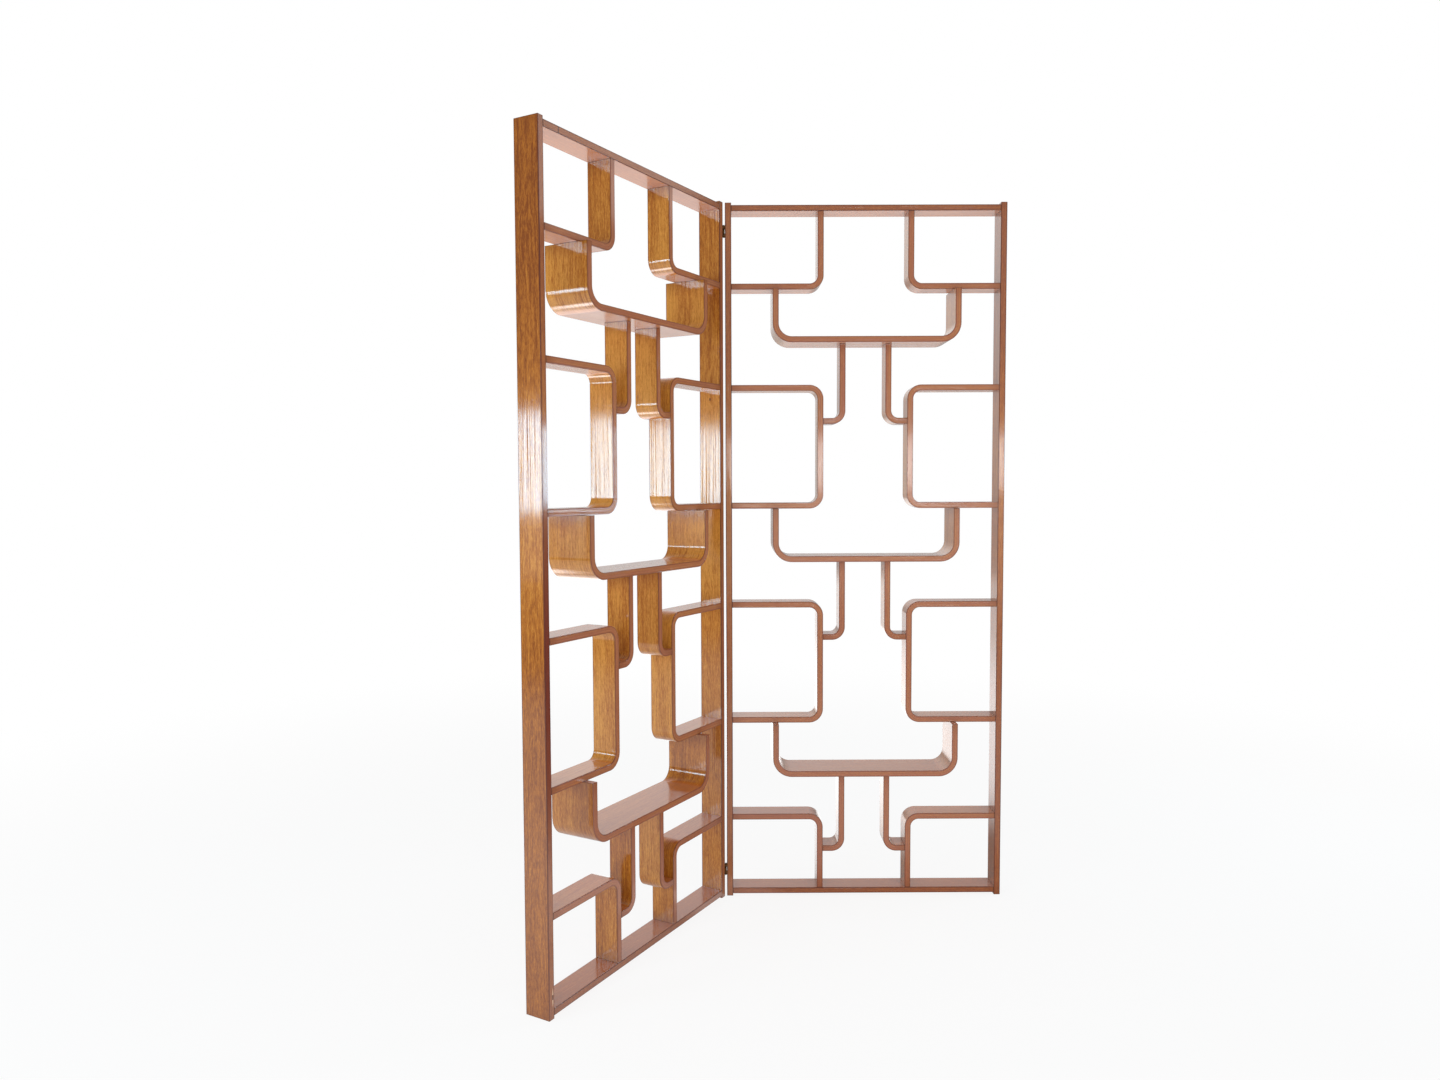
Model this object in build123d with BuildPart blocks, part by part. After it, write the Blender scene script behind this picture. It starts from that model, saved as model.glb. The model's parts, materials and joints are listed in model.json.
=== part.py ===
from build123d import *
from collections import namedtuple
from math import cos, radians, sin
import os

# A room divider: two alike lattice panels of straight and bent boards, hinged at their
# meeting posts so that they stand by themselves at an angle.
# Lengths are in millimetres and angles in degrees. Z points up, the origin lies on the
# floor under the middle of the whole, and the open side of the angle faces -Y.
# Places on a panel are (s, h): s runs from the hinge end along the panel, h runs upwards.

# Panel frame
panel_width = 940.0
frame_depth = 80.0
post_thick = 21.0
board_thick = 20.0
rail_inset = 8.0
edge_round = 1.5

# Heights in the lattice, each from the middle of one board to the middle of the next
elbow_drop = 258.0
tray_drop = 179.0
tray_gap = 157.0
loop_height = 395.0
hook_drop = 111.0

# Places across the lattice
middle_gap = 282.0
tray_inset = 157.0
hook_reach = 74.0
tray_depth = 145.0

# Bend radii at the middle of the board
loop_bend = 37.0
tray_bend = 54.0
hook_bend = 34.0

# Dowels in the butt joints, and their holes
dowel_radius = 4.0
dowel_sink = 13.0
dowel_spacing = 44.0
dowel_side_clear = 0.1
dowel_end_clear = 1.0

# How the panels stand, and the gap between their posts when they stand in line
opening_angle = 120.0
panel_gap = 8.0

# Hinges: height and place on the post, leaf, knuckle and pin
hinge_height = 40.0
hinge_inset = 95.0
leaf_width = 24.0
leaf_thick = 1.5
recess_clear = 0.2
axis_proud = 1.0
knuckle_radius = 3.0
knuckle_gap = 0.3
pin_radius = 1.3
pin_clear = 0.05
pin_head_radius = 2.4
pin_head_height = 1.2

# Hinge screws, and their holes
screw_radius = 1.4
screw_head_radius = 2.9
screw_length = 14.0
screw_spacing = 24.0
screw_back = 13.0
screw_clear = 0.1
slot_width = 0.7
slot_depth = 0.6

# Every cut that opens through a face runs past it by this much
overrun = 1.0

# Heights of the middles of the boards, from the floor up
half_board = board_thick / 2
bottom_rail_height = rail_inset + half_board
bottom_elbow_height = bottom_rail_height + elbow_drop
lower_tray_height = bottom_elbow_height + tray_gap
lower_loop_low = lower_tray_height + tray_drop
lower_loop_high = lower_loop_low + loop_height
middle_tray_height = lower_loop_high + tray_gap
upper_loop_low = middle_tray_height + tray_drop
upper_loop_high = upper_loop_low + loop_height
upper_tray_height = upper_loop_high + tray_gap
top_elbow_height = upper_tray_height + tray_drop
top_rail_height = top_elbow_height + elbow_drop
post_height = top_rail_height + half_board + rail_inset

# Places of the middles of the upright stretches, from the panel's edge inwards
bay_width = (panel_width - middle_gap) / 2
bay_middle = bay_width - half_board
tray_middle = tray_inset + half_board
hook_middle = bay_width + hook_reach - half_board

# The hinge line lies where the whole is centred on the origin
panel_turn = (180 - opening_angle) / 2
along = cos(radians(panel_turn))
across = sin(radians(panel_turn))
back_reach = along * (frame_depth + axis_proud) - across * panel_gap / 2
front_reach = along * axis_proud - across * (panel_gap / 2 + panel_width)
hinge_line_y = -(back_reach + front_reach) / 2

Board = namedtuple("Board", "name route bend depth start_host end_host dowels")


def flipped(route):
    """The same route on the other half of the panel, still turning left."""
    return [(panel_width - s, h) for s, h in reversed(route)]


def lattice_boards():
    """Every board that ends in butt joints, with its route and the boards it ends on."""
    rail_route = [(post_thick, 0), (panel_width - post_thick, 0)]
    boards = []
    for name, height in (("top_rail", top_rail_height), ("bottom_rail", bottom_rail_height)):
        route = [(s, height) for s, _ in rail_route]
        boards.append(Board(name, route, 0, frame_depth, "inner_post", "outer_post", "rail_dowels"))

    for end in ("inner", "outer"):
        post = f"{end}_post"
        shapes = [
            (
                f"{end}_top_elbow",
                [
                    (post_thick, top_elbow_height),
                    (bay_middle, top_elbow_height),
                    (bay_middle, top_rail_height - half_board),
                ],
                (post, "top_rail"),
            ),
            (
                f"{end}_bottom_elbow",
                [
                    (bay_middle, bottom_rail_height + half_board),
                    (bay_middle, bottom_elbow_height),
                    (post_thick, bottom_elbow_height),
                ],
                ("bottom_rail", post),
            ),
        ]
        for level, low, high in (
            ("upper", upper_loop_low, upper_loop_high),
            ("lower", lower_loop_low, lower_loop_high),
        ):
            route = [(post_thick, low), (bay_middle, low), (bay_middle, high), (post_thick, high)]
            shapes.append((f"{end}_{level}_loop", route, (post, post)))
        for name, route, hosts in shapes:
            if end == "outer":
                route = flipped(route)
                hosts = hosts[::-1]
            boards.append(Board(name, route, loop_bend, frame_depth, *hosts, "side_dowels"))

    for level, height, above, below in (
        ("upper", upper_tray_height, "top_elbow", "upper_loop"),
        ("middle", middle_tray_height, "upper_loop", "lower_loop"),
        ("lower", lower_tray_height, "lower_loop", "bottom_elbow"),
    ):
        tray = f"{level}_tray"
        rim = height + tray_drop - half_board
        route = [(tray_middle, rim), (tray_middle, height)]
        route += flipped(route)
        hosts = (f"inner_{above}", f"outer_{above}")
        boards.append(Board(tray, route, tray_bend, tray_depth, *hosts, "middle_dowels"))

        foot = height - tray_gap - hook_drop
        for end in ("inner", "outer"):
            route = [(bay_width, foot), (hook_middle, foot), (hook_middle, height - half_board)]
            hosts = (f"{end}_{below}", tray)
            if end == "outer":
                route = flipped(route)
                hosts = hosts[::-1]
            name = f"{end}_{level}_hook"
            boards.append(Board(name, route, hook_bend, frame_depth, *hosts, "middle_dowels"))
    return boards


boards = lattice_boards()


def butt_joints(board):
    """Each end of a board as its host, its place (s, h) and the way (s, h) it points."""
    start, after = (Vector(*place) for place in board.route[:2])
    before, end = (Vector(*place) for place in board.route[-2:])
    return [
        (board.start_host, start, (start - after).normalized()),
        (board.end_host, end, (end - before).normalized()),
    ]


def panel_plane(sign):
    """A panel's middle plane, x along the panel from its hinge end and y upwards."""
    outwards = Vector(sign * along, -across, 0)
    face = Vector(-across, -sign * along, 0)
    to_middle = (frame_depth / 2 + axis_proud) * Vector(sign * across, along, 0)
    origin = Vector(0, hinge_line_y, 0) + outwards * (panel_gap / 2) + to_middle
    return Plane(origin=origin, x_dir=outwards, z_dir=face)


def joint_plane(plane, place, way):
    """A plane across a butt joint, facing the given way, x running through the depth."""
    facing = way.X * plane.x_dir + way.Y * plane.y_dir
    return Plane(origin=plane.from_local_coords(place), x_dir=plane.z_dir, z_dir=facing)


def side_points(route, shift):
    """A route's points moved sideways by shift, to the left of the way it runs."""
    places = [Vector(*place) for place in route]
    ways = [(b - a).normalized() for a, b in zip(places, places[1:])]
    lefts = [Vector(-way.Y, way.X) for way in ways]
    pairs = zip([lefts[0]] + lefts, lefts + [lefts[-1]])
    return [
        place + (first + second) * (shift / (1 + first.dot(second)))
        for place, (first, second) in zip(places, pairs)
    ]


def drill_dowel_holes(plane, name):
    """Cut the dowel holes of the piece being built, at each joint that it shares."""
    for board in boards:
        for host, place, way in butt_joints(board):
            if name == board.name:
                mouth = joint_plane(plane, place, way)
            elif name == host:
                mouth = joint_plane(plane, place, -way)
            else:
                continue
            with Locations(mouth):
                with GridLocations(dowel_spacing, 0, 2, 1):
                    Hole(radius=dowel_radius + dowel_side_clear, depth=dowel_sink + dowel_end_clear)


def board_edge(points, radius):
    """One long edge of a board, round at each of its corners if it has any."""
    if len(points) > 2:
        FilletPolyline(*points, radius=radius)
    else:
        Line(*points)


def bent_board(plane, board):
    """A board bent along its route, with rounded long edges and its dowel holes."""
    with BuildPart() as bent:
        with BuildSketch(plane):
            with BuildLine():
                inside = side_points(board.route, half_board)
                outside = side_points(board.route, -half_board)
                board_edge(inside, board.bend - half_board)
                board_edge(outside, board.bend + half_board)
                Line(inside[0], outside[0])
                Line(inside[-1], outside[-1])
            make_face()
        extrude(amount=board.depth / 2, both=True)
        faces = bent.faces().sort_by(Axis(plane.origin, plane.z_dir))
        ends = [
            bent.faces().sort_by_distance(plane.from_local_coords(place))[0]
            for _, place, _ in butt_joints(board)
        ]
        long_edges = faces[0].edges() + faces[-1].edges()
        fillet(long_edges - ends[0].edges() - ends[1].edges(), edge_round)
        drill_dowel_holes(plane, board.name)
    return bent.part


def hinge_plane(sign, height):
    """A level plane on the hinge line, x along the panel and y towards its back."""
    outwards = panel_plane(sign).x_dir
    return Plane(origin=(0, hinge_line_y, height), x_dir=outwards, z_dir=(0, 0, sign))


def screw_planes(sign, height):
    """The planes of a leaf's screws, on the post's outer face and facing out of it."""
    level = hinge_plane(sign, height)
    across_leaf = (panel_gap / 2, axis_proud + screw_back)
    return [
        Plane(
            origin=level.from_local_coords((*across_leaf, offset)),
            x_dir=(0, 0, 1),
            z_dir=-level.x_dir,
        )
        for offset in (-screw_spacing / 2, screw_spacing / 2)
    ]


hinge_heights = {"upper": post_height - hinge_inset, "lower": hinge_inset}


def post(plane, name, sign):
    """A straight post with eased edges, dowel holes and, at the hinge end, its recesses."""
    near = 0 if name == "inner_post" else panel_width - post_thick
    with BuildPart() as upright:
        with BuildSketch(plane):
            with Locations((near, 0)):
                Rectangle(post_thick, post_height, align=(Align.MIN, Align.MIN))
        extrude(amount=frame_depth / 2, both=True)
        fillet(upright.edges(), edge_round)
        drill_dowel_holes(plane, name)
        if name == "inner_post":
            for height in hinge_heights.values():
                with BuildSketch(hinge_plane(sign, height)):
                    with Locations((panel_gap / 2 - overrun, axis_proud - overrun)):
                        Rectangle(
                            leaf_thick + recess_clear + overrun,
                            leaf_width + recess_clear + overrun,
                            align=(Align.MIN, Align.MIN),
                        )
                extrude(amount=hinge_height / 2 + recess_clear, both=True, mode=Mode.SUBTRACT)
                with Locations(*screw_planes(sign, height)):
                    Hole(radius=screw_radius + screw_clear, depth=screw_length + screw_clear)
    return upright.part


def hinge_leaf(sign, height, knuckles):
    """A leaf let into the post, with its knuckles at the stated heights about the middle."""
    level = hinge_plane(sign, height)
    with BuildPart() as leaf:
        with BuildSketch(level):
            with Locations((panel_gap / 2, axis_proud)):
                Rectangle(leaf_thick, leaf_width, align=(Align.MIN, Align.MIN))
        extrude(amount=hinge_height / 2, both=True)
        for low, high in knuckles:
            with BuildSketch(level.offset(low)):
                Circle(knuckle_radius)
                with Locations((0, axis_proud)):
                    Rectangle(panel_gap / 2, leaf_thick, align=(Align.MIN, Align.MIN))
            extrude(amount=high - low)
        with BuildSketch(level):
            Circle(pin_radius + pin_clear)
        extrude(amount=hinge_height / 2 + overrun, both=True, mode=Mode.SUBTRACT)
        with Locations(*screw_planes(sign, height)):
            CounterSinkHole(
                radius=screw_radius + screw_clear,
                counter_sink_radius=screw_head_radius + screw_clear,
                depth=leaf_thick + overrun,
            )
    return leaf.part


def hinge_pin(height):
    """A pin through the knuckles, with a button head at each end."""
    with BuildPart() as pin:
        with BuildSketch(hinge_plane(1, height)):
            Circle(pin_radius)
        extrude(amount=hinge_height / 2, both=True)
        for end in (1, -1):
            rim = Plane(origin=(0, hinge_line_y, height + end * hinge_height / 2), z_dir=(0, 0, end))
            with BuildSketch(rim):
                Circle(pin_head_radius)
            extrude(amount=pin_head_height)
        crowns = pin.faces().sort_by(Axis.Z)
        fillet(crowns[0].edges() + crowns[-1].edges(), pin_head_height / 2)
    return pin.part


def hinge_screws(sign):
    """The countersunk screws of one panel's leaves, each with its slot."""
    head_height = screw_head_radius - screw_radius
    with BuildPart() as screws:
        for height in hinge_heights.values():
            for mouth in screw_planes(sign, height):
                with Locations(mouth):
                    Cone(
                        bottom_radius=screw_radius,
                        top_radius=screw_head_radius,
                        height=head_height,
                        align=(Align.CENTER, Align.CENTER, Align.MAX),
                    )
                    Cylinder(
                        radius=screw_radius,
                        height=screw_length,
                        align=(Align.CENTER, Align.CENTER, Align.MAX),
                    )
                    Box(
                        screw_head_radius * 2 + overrun,
                        slot_width,
                        slot_depth * 2,
                        mode=Mode.SUBTRACT,
                    )
    return screws.part


def dowel_group(plane, group):
    """The dowels of one group, half of each in either board of its joint."""
    with BuildPart() as dowels:
        for board in boards:
            if board.dowels != group:
                continue
            for _, place, way in butt_joints(board):
                with BuildSketch(joint_plane(plane, place, way)):
                    with GridLocations(dowel_spacing, 0, 2, 1):
                        Circle(dowel_radius)
        extrude(amount=dowel_sink, both=True)
    return dowels.part


def write(part, name):
    """Label a finished piece and write it under its name."""
    part.label = name
    export_step(part, f"parts/{name}.step")


os.makedirs("parts", exist_ok=True)

# Knuckle heights about the hinge's middle: the left leaf's knuckle lies between the right's two
knuckle_reach = hinge_height / 6
outer_knuckles = [
    (-hinge_height / 2, -knuckle_reach - knuckle_gap / 2),
    (knuckle_reach + knuckle_gap / 2, hinge_height / 2),
]
middle_knuckle = [(-knuckle_reach + knuckle_gap / 2, knuckle_reach - knuckle_gap / 2)]

for side, sign, knuckles in (("right", 1, outer_knuckles), ("left", -1, middle_knuckle)):
    plane = panel_plane(sign)
    for name in ("inner_post", "outer_post"):
        write(post(plane, name, sign), f"{side}_{name}")
    for board in boards:
        write(bent_board(plane, board), f"{side}_{board.name}")
    for group in ("rail_dowels", "side_dowels", "middle_dowels"):
        write(dowel_group(plane, group), f"{side}_{group}")
    for level, height in hinge_heights.items():
        write(hinge_leaf(sign, height, knuckles), f"{level}_hinge_{side}_leaf")
    write(hinge_screws(sign), f"{side}_hinge_screws")

for level, height in hinge_heights.items():
    write(hinge_pin(height), f"{level}_hinge_pin")

print("post height", post_height, "bay width", bay_width, "hinge line y", round(hinge_line_y, 3))
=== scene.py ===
# %% [markdown]
# # A room divider of bent boards
#
# The real object is two alike lattice panels, each a frame of straight boards filled with
# boards that were glued up from thin plies over a mould, so that they turn their corners in
# one piece. Everything is stained honey brown and lacquered to a high gloss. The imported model
# gives every piece its place and size, so it is loaded first, as a frame that never moves, and
# the looks are built around it.

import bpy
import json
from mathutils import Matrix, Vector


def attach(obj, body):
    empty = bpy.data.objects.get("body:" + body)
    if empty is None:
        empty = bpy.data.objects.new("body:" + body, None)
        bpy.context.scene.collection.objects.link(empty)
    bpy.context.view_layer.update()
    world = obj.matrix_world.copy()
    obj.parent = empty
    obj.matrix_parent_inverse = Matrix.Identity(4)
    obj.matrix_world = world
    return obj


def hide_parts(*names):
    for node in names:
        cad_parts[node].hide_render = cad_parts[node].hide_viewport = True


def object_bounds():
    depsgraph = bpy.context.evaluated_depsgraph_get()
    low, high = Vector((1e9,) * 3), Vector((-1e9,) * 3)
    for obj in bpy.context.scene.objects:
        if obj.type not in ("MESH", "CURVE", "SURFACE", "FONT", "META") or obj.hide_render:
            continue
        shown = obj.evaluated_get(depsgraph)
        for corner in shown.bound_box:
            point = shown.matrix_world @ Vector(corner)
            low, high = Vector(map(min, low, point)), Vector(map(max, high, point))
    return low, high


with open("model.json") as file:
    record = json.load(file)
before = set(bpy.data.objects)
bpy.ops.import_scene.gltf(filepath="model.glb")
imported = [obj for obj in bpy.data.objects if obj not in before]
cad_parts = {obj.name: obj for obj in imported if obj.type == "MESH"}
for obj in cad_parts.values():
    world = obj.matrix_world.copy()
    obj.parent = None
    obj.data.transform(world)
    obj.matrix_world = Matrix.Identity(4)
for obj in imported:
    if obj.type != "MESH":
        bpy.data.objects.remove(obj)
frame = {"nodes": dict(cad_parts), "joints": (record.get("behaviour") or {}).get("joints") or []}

# %% [markdown]
# The shapes below are worked out with numpy, as whole arrays at once, and Blender's own mathutils turns
# the camera. The imported model's box is measured now, before anything is added.

# %% Tools used below, and the imported model's box
import json
from math import cos, pi, radians, sin

import bmesh
import bpy
import numpy as np
from mathutils import Matrix, Vector

MM_PER_M = 1000

cad_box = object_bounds()
cad_size = [round((high - low) * MM_PER_M) for low, high in zip(*cad_box)]
print("it is", cad_size, "mm wide, deep and high")

# %% [markdown]
# ## The camera
#
# The photograph was taken from the left of the angle between the panels, at about the height
# of a tripod. The place, the turn and the lens were found by matching the corners of the
# panels, at their real size, with their places in the picture. The three turns are made the
# way a camera operator makes them, pan, then tilt, then roll, so that each can be read alone.

# %% The camera, at the photograph's place and angle
hinge_line = Vector(frame["joints"][0]["pos_m"])

CAMERA_FROM_HINGE = Vector((-1.7310, -2.9475, 1.4140))
PAN = -0.5263
TILT = -0.0544
ROLL = 0.0038
SENSOR_WIDTH_MM = 36.0
PICTURE_WIDTH_PX = 1440
FOCAL_LENGTH_PX = 1012.88

level_right = Vector((cos(PAN), sin(PAN), 0))
level_ahead = Vector((-sin(PAN), cos(PAN), 0))
ahead = level_ahead * cos(TILT) + Vector((0, 0, sin(TILT)))
plumb_up = Vector((0, 0, cos(TILT))) - level_ahead * sin(TILT)
right = level_right * cos(ROLL) - plumb_up * sin(ROLL)
up = level_right * sin(ROLL) + plumb_up * cos(ROLL)

camera_data = bpy.data.cameras.new("photograph_camera")
camera_data.sensor_width = SENSOR_WIDTH_MM
camera_data.lens = SENSOR_WIDTH_MM * FOCAL_LENGTH_PX / PICTURE_WIDTH_PX
camera = bpy.data.objects.new("photograph_camera", camera_data)
turn = Matrix((right, up, -ahead)).transposed()
level_hinge = Vector((hinge_line.x, hinge_line.y, 0))
camera.matrix_world = Matrix.Translation(level_hinge + CAMERA_FROM_HINGE) @ turn.to_4x4()
bpy.context.scene.collection.objects.link(camera)
bpy.context.scene.camera = camera
bpy.context.scene.view_settings.view_transform = "Standard"
print("camera at", [round(c, 3) for c in camera.location], "lens", round(camera_data.lens, 2), "mm")

# %% [markdown]
# ## Nodes, joined as they are named
#
# Every finish below is a small tree of shader nodes. Such a tree could be drawn by hand in the
# node editor, but then it couldn't be read here, so a few short helpers keep it readable as
# text. The first adds a node with its settings and joins its sockets. Another turns a colour as
# a painter reads it off a screen, from 0 to 255, into the linear light that shaders work in.

# %% Nodes, materials and colours
MIDDLE_OF_SCREEN = 128


def add_node(tree, kind, inputs=(), **settings):
    """A node of this kind. inputs holds (socket, value) pairs, and a value may be a socket."""
    made = tree.nodes.new("ShaderNode" + kind)
    for name, value in settings.items():
        setattr(made, name, value)
    for socket, value in dict(inputs).items():
        if isinstance(value, bpy.types.NodeSocket):
            tree.links.new(value, made.inputs[socket])
        else:
            made.inputs[socket].default_value = value
    return made


def start_material(name):
    """A new material, and its tree with no node in it."""
    material = bpy.data.materials.new(name)
    material.use_nodes = True
    material.node_tree.nodes.clear()
    return material, material.node_tree


def screen_colour(red, green, blue):
    """Linear light of a screen colour: each share of 255, put through the sRGB formula."""
    share = np.array([red, green, blue]) / 255
    linear = np.where(share <= 0.04045, share / 12.92, ((share + 0.055) / 1.055) ** 2.4)
    return (*linear.tolist(), 1.0)


middle_grey = screen_colour(MIDDLE_OF_SCREEN, MIDDLE_OF_SCREEN, MIDDLE_OF_SCREEN)
print("the middle of a screen's scale is", round(middle_grey[0], 3), "of white light")

# %% [markdown]
# Sums are nodes too. Each helper below makes one node and gives back the socket that holds its
# result, so that one sum can go straight into the next, as in written arithmetic. The last of
# them is used most: it turns a distance or a noise into a share that rises and falls softly.

# %% Sums of numbers, vectors and colours
NUMBER_SUMS = ("LENGTH", "DISTANCE", "DOT_PRODUCT")


def maths(tree, operation, first, second=0.0, third=0.0):
    """The result of one sum, such as MULTIPLY, of up to three values."""
    inputs = {0: first, 1: second, 2: third}
    return add_node(tree, "Math", inputs, operation=operation).outputs[0]


def vector_maths(tree, operation, first, second=(0.0, 0.0, 0.0)):
    """The result of one sum of vectors, which is a number for those in NUMBER_SUMS."""
    made = add_node(tree, "VectorMath", {0: first, 1: second}, operation=operation)
    return made.outputs["Value" if operation in NUMBER_SUMS else "Vector"]


def mix_numbers(tree, share, first, second):
    """second in place of first, by its share. The node keeps its numbers in sockets 2 and 3."""
    return add_node(tree, "Mix", {0: share, 2: first, 3: second}, data_type="FLOAT").outputs[0]


def blend_colours(tree, share, first, second):
    """The colour second laid over first, by its share. Its colours are in sockets 6 and 7."""
    return add_node(tree, "Mix", {0: share, 6: first, 7: second}, data_type="RGBA").outputs[2]


def remap(tree, value, low, high, to_low=0.0, to_high=1.0):
    """value moved from between low and high to between to_low and to_high, and kept there."""
    inputs = {0: value, 1: low, 2: high, 3: to_low, 4: to_high}
    return add_node(tree, "MapRange", inputs, interpolation_type="SMOOTHSTEP").outputs[0]


print("sums that turn vectors into a number:", ", ".join(NUMBER_SUMS))

# %% [markdown]
# A finish also has to know where it is. It can read a point's place in the room, or what the
# mesh keeps on its points, and from either it can draw noise. Noise with few waves along a board
# and many across it is what grain looks like.

# %% Where a point is, and noise drawn out like grain
def one_part(tree, vector, axis):
    """The X, Y or Z of a vector."""
    return add_node(tree, "SeparateXYZ", {0: vector}).outputs[axis]


def room_place(tree):
    """A point's place in the room, which is its Object coordinates, as no piece is moved."""
    return add_node(tree, "TexCoord").outputs["Object"]


def stored(tree, attribute, output="Fac"):
    """What a mesh keeps on its points: a number, or with Vector as output three."""
    return add_node(tree, "Attribute", attribute_name=attribute).outputs[output]


def stretched_noise(tree, place, per_metre, detail=2.0, roughness=0.5, distortion=0.0):
    """Noise with this many waves to the metre in each direction, so that it can run like grain."""
    scaled = add_node(tree, "Mapping", {"Vector": place, "Scale": per_metre})
    inputs = {
        "Vector": scaled.outputs[0],
        "Scale": 1.0,
        "Detail": detail,
        "Roughness": roughness,
        "Distortion": distortion,
    }
    return add_node(tree, "TexNoise", inputs).outputs[0]


unmoved = all(piece.matrix_world == Matrix.Identity(4) for piece in frame["nodes"].values())
print("the packed pieces stand unmoved:", unmoved)

# %% [markdown]
# ## The studio
#
# The photograph has a white floor and a white background, a large soft lamp on the left whose
# mirror image bleaches the upright faces at breast height, and weaker ones on the right and in
# front. A lacquered board shows its room: where a face mirrors the floor or the background it
# turns pale, and where it mirrors the unlit side of the room it keeps its colour. One even
# white world would turn every face alike pale. So the world is three things at once. Mirrors
# see a room that is grey in front, dim at the sides and pale at the back, the paler the higher.
# The wood is lit by soft light from all round, a little stronger from the left. The camera sees
# plain white.

# %% The room that the lacquer mirrors
WHITE = 1.0
GREY_FRONT = 0.60
FRONT_FADES = (-0.85, -0.60)
DIM_SIDES = 0.14
BACK_FROM = 0.25
BACK_FULL_AT = 0.95
BACK_LOW = 0.56
BACK_HIGH = 1.34
BACK_RISES = (-0.05, 0.45)
SOFT_LIGHT = 0.53
LEAN_TO_LEFT = (-0.21, -0.07, 0.0)


def mirrored_room(tree, backwards, back, full_at):
    """How bright the room looks in a mirror: grey in front, dim at the sides, pale at the back.

    backwards says how far a direction points to the back, from -1 to 1, and back how bright
    the room is there, once a direction points that way by full_at.
    """
    in_front = remap(tree, backwards, *FRONT_FADES, GREY_FRONT - DIM_SIDES, 0.0)
    behind = remap(tree, backwards, BACK_FROM, full_at, DIM_SIDES, back)
    return maths(tree, "ADD", in_front, behind)


def any_mirror(tree, rays):
    """1 for a ray that a glossy surface sent, and for one that went through glass."""
    return maths(tree, "MAXIMUM", rays.outputs["Is Glossy Ray"], rays.outputs["Is Transmission Ray"])


def paint_world():
    """White for the camera, soft light for the object, and the room for mirrors.

    The soft light is a constant plus the product of the direction with a short arrow to the
    left.
    """
    world = bpy.data.worlds.new("studio")
    world.use_nodes = True
    tree = world.node_tree
    tree.nodes.clear()
    rays = add_node(tree, "LightPath")
    way = add_node(tree, "TexCoord").outputs["Generated"]
    back = remap(tree, one_part(tree, way, "Z"), *BACK_RISES, BACK_LOW, BACK_HIGH)
    room = mirrored_room(tree, one_part(tree, way, "Y"), back, BACK_FULL_AT)
    soft = maths(tree, "ADD", SOFT_LIGHT, vector_maths(tree, "DOT_PRODUCT", way, LEAN_TO_LEFT))
    strength = mix_numbers(tree, any_mirror(tree, rays), soft, room)
    strength = mix_numbers(tree, rays.outputs["Is Camera Ray"], strength, WHITE)
    shine = add_node(tree, "Background", {"Color": (1, 1, 1, 1), "Strength": strength})
    add_node(tree, "OutputWorld", {0: shine.outputs[0]})
    bpy.context.scene.world = world


paint_world()
print("world: soft light of", SOFT_LIGHT)

# %% [markdown]
# ## The floor
#
# Under the object lies white paper. The camera sees it as plain white with a trace of shadow.
# In the lacquer it must look as it does on the real object: lit on the left, bright close
# behind the object and darker far off, dim where the left panel shades it, with a few pools of
# lamplight, of which the small bright one draws the second bright line on the bend of the upper
# tray. Real lamps could be aimed at the paper for that, but they would light the wood as well.
# So the floor in the mirror is painted: its brightness is worked out from the place on it.

# %% The floor that the lacquer mirrors
LIT_FLOOR = 1.0
LIT_MIDDLE = (-3.2, -0.3, 0.0)
LIT_FADES = (1.1, 3.6)
BACK_OF_FLOOR = 1.22
FAR_OF_FLOOR = 0.50
FAR_FROM = (10.5, 14.0)
CLOSE_EXTRA = 0.9
CLOSE_FADES = (3.0, 7.0)
FLOOR_FULL_AT = 0.80
SHADED_SHARE = 0.25
SHADED_MIDDLE = (-0.6, 0.7, 0.0)
SHADED_FADES = (0.5, 1.8)
GLOW_CORE = 0.3
# Each glow's middle, reach and brightness
GLOWS = (
    ((-1.35, 0.98, 0.0), 0.50, 9.0),
    ((-0.55, 1.75, 0.0), 1.30, 1.3),
    ((-1.10, -1.10, 0.0), 2.80, 0.38),
)


def floor_in_mirrors(tree, place, away):
    """How bright a mirror shows the floor at a place, which lies this far away from the object.

    It is the room's brightness in the place's direction, or the lit floor's if that is more,
    plus each glow, full within its core and gone at its reach.
    """
    backwards = one_part(tree, vector_maths(tree, "NORMALIZE", place), "Y")
    from_shaded = vector_maths(tree, "DISTANCE", place, SHADED_MIDDLE)
    from_lit = vector_maths(tree, "DISTANCE", place, LIT_MIDDLE)
    back = remap(tree, away, *FAR_FROM, BACK_OF_FLOOR, FAR_OF_FLOOR)
    back = maths(tree, "ADD", back, remap(tree, away, *CLOSE_FADES, CLOSE_EXTRA, 0.0))
    back = maths(tree, "MULTIPLY", back, remap(tree, from_shaded, *SHADED_FADES, SHADED_SHARE, 1.0))
    lit = remap(tree, from_lit, *LIT_FADES, LIT_FLOOR, 0.0)
    bright = maths(tree, "MAXIMUM", lit, mirrored_room(tree, backwards, back, FLOOR_FULL_AT))
    for middle, reach, brightness in GLOWS:
        from_glow = vector_maths(tree, "DISTANCE", place, middle)
        glow = remap(tree, from_glow, GLOW_CORE * reach, reach, brightness, 0.0)
        bright = maths(tree, "ADD", bright, glow)
    return bright


print("the lacquer mirrors", len(GLOWS), "glows on the floor")

# %% [markdown]
# A second floor, for mirrors alone, could hold that picture, but two floors in one place would
# spoil the shadow. One emission that only mirrors see, mixed with real shaded paper for the
# rest, does it with one floor. The paper also throws a little more light back at the wood than
# the lamps alone would make it, which keeps the undersides pale.

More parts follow.
